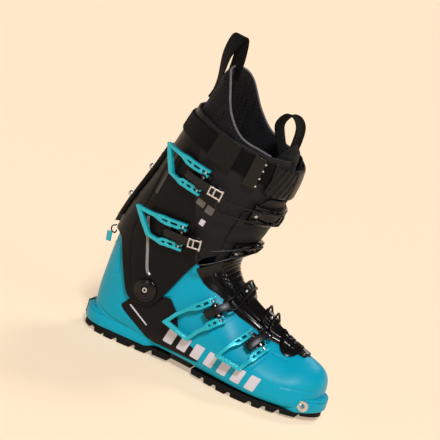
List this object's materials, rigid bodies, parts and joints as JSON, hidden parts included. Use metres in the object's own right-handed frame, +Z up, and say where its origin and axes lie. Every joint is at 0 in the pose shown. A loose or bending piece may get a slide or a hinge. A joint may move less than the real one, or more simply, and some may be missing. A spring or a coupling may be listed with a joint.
{
  "type": "alpine touring boot",
  "caption": "Alpine touring ski boot with a hinged cuff, walk mode lever, overlapping front flap, lever buckles with wire bails and toothed ladders, power strap, soft liner and rubber tread.",
  "frame": {"origin": "centre of the heel tread's ground face", "axes": "+X to the toe, +Y to the inner side of the foot, +Z up"},
  "size_m": [0.3082, 0.1351, 0.3746],
  "materials": {
    "shell": "satin turquoise moulded plastic",
    "black_plastic": "satin black moulded plastic",
    "gloss_black": "glossy black plastic",
    "sole_rubber": "moulded tread rubber",
    "steel": "bright steel",
    "black_steel": "black coated steel",
    "tab_plastic": "turquoise soft plastic",
    "lever_metal": "bright turquoise anodised and lacquered magnesium",
    "liner_fabric": "black padded textile over foam",
    "webbing": "woven black webbing"
  },
  "bodies": {
    "lower_boot": {"lower_shell": "shell", "side_inlay_outer": "black_plastic", "side_inlay_inner": "black_plastic", "heel_sole": "sole_rubber", "toe_sole": "sole_rubber", "arch_shank": "black_plastic", "toe_pin_bar": "steel", "heel_pin_plate": "black_steel", "heel_plate_screw": "steel", "pivot_bolt_outer": "gloss_black", "pivot_bolt_inner": "gloss_black", "instep_tongue": "gloss_black", "toe_vent_panel": "black_plastic", "lock_pin": "steel", "liner_foot": "liner_fabric", "footbed": "liner_fabric", "boot_board": "black_plastic", "buckle3_base": "black_steel", "buckle3_axle": "steel", "buckle3_ladder": "gloss_black", "buckle4_base": "black_steel", "buckle4_axle": "steel", "buckle4_ladder": "gloss_black"},
    "cuff": {"cuff_shell": "black_plastic", "cuff_flap": "black_plastic", "power_strap": "webbing", "strap_pad": "liner_fabric", "strap_slider": "gloss_black", "strap_hook": "gloss_black", "walk_housing": "black_plastic", "housing_screw_1": "steel", "housing_screw_2": "steel", "walk_pivot_pin": "steel", "liner_cuff": "liner_fabric", "liner_tongue": "liner_fabric", "heel_pull_tab": "webbing", "tongue_pull_loop": "webbing", "buckle1_base": "black_steel", "buckle1_axle": "steel", "buckle1_ladder": "gloss_black", "buckle2_base": "black_steel", "buckle2_axle": "steel", "buckle2_ladder": "gloss_black"},
    "walk_lever": {"walk_lever": "black_steel"},
    "walk_pull": {"walk_wire": "black_steel", "walk_pull_tab": "tab_plastic"},
    "lever1": {"buckle1_lever": "lever_metal"},
    "bail1": {"buckle1_link": "black_steel", "buckle1_bail": "black_steel", "buckle1_catch": "steel"},
    "lever2": {"buckle2_lever": "lever_metal"},
    "bail2": {"buckle2_link": "black_steel", "buckle2_bail": "black_steel", "buckle2_catch": "steel"},
    "lever3": {"buckle3_lever": "lever_metal"},
    "bail3": {"buckle3_link": "black_steel", "buckle3_bail": "black_steel"},
    "lever4": {"buckle4_lever": "lever_metal"},
    "bail4": {"buckle4_link": "black_steel", "buckle4_bail": "black_steel"}
  },
  "joints": [
    {"name": "cuff_pivot", "type": "hinge", "parent": "lower_boot", "child": "cuff", "pos_m": [0.0325, 0, 0.076], "axis": [0, 1, 0], "range_deg": [-24, 6]},
    {"name": "walk_lever_hinge", "type": "hinge", "parent": "cuff", "child": "walk_lever", "pos_m": [-0.01232, 0, 0.2161], "axis": [0, 1, 0], "range_deg": [0, 15]},
    {"name": "walk_pull_hinge", "type": "hinge", "parent": "walk_lever", "child": "walk_pull", "pos_m": [-0.04065, 0, 0.11996], "axis": [0, 1, 0], "range_deg": [-5, 40]},
    {"name": "lever1_hinge", "type": "hinge", "parent": "cuff", "child": "lever1", "pos_m": [0.05982, -0.06355, 0.21848], "axis": [0.17, -0.0727, 0.9828], "range_deg": [0, 130]},
    {"name": "bail1_hinge", "type": "hinge", "parent": "lever1", "child": "bail1", "pos_m": [0.04482, -0.06311, 0.22111], "axis": [0.17, -0.0727, 0.9828], "range_deg": [-132, 2]},
    {"name": "lever2_hinge", "type": "hinge", "parent": "cuff", "child": "lever2", "pos_m": [0.0543, -0.05668, 0.15012], "axis": [-0.0222, -0.1168, 0.9929], "range_deg": [0, 130]},
    {"name": "bail2_hinge", "type": "hinge", "parent": "lever2", "child": "bail2", "pos_m": [0.04034, -0.05791, 0.14971], "axis": [-0.0222, -0.1168, 0.9929], "range_deg": [-132, 2]},
    {"name": "lever3_hinge", "type": "hinge", "parent": "lower_boot", "child": "lever3", "pos_m": [0.11746, -0.04366, 0.08423], "axis": [-0.7094, 0.1652, 0.6852], "range_deg": [0, 120]},
    {"name": "bail3_hinge", "type": "hinge", "parent": "lever3", "child": "bail3", "pos_m": [0.10995, -0.04836, 0.07757], "axis": [-0.7094, 0.1652, 0.6852], "range_deg": [-122, 2]},
    {"name": "lever4_hinge", "type": "hinge", "parent": "lower_boot", "child": "lever4", "pos_m": [0.1704, -0.03575, 0.06853], "axis": [-0.9032, 0.098, 0.418], "range_deg": [0, 110]},
    {"name": "bail4_hinge", "type": "hinge", "parent": "lever4", "child": "bail4", "pos_m": [0.16607, -0.04522, 0.06136], "axis": [-0.9032, 0.098, 0.418], "range_deg": [-112, 2]}
  ],
  "couplings": [
    {"joint": "bail1_hinge", "follows": "lever1_hinge", "ratio": -1},
    {"joint": "bail2_hinge", "follows": "lever2_hinge", "ratio": -1},
    {"joint": "bail3_hinge", "follows": "lever3_hinge", "ratio": -1},
    {"joint": "bail4_hinge", "follows": "lever4_hinge", "ratio": -1}
  ]
}
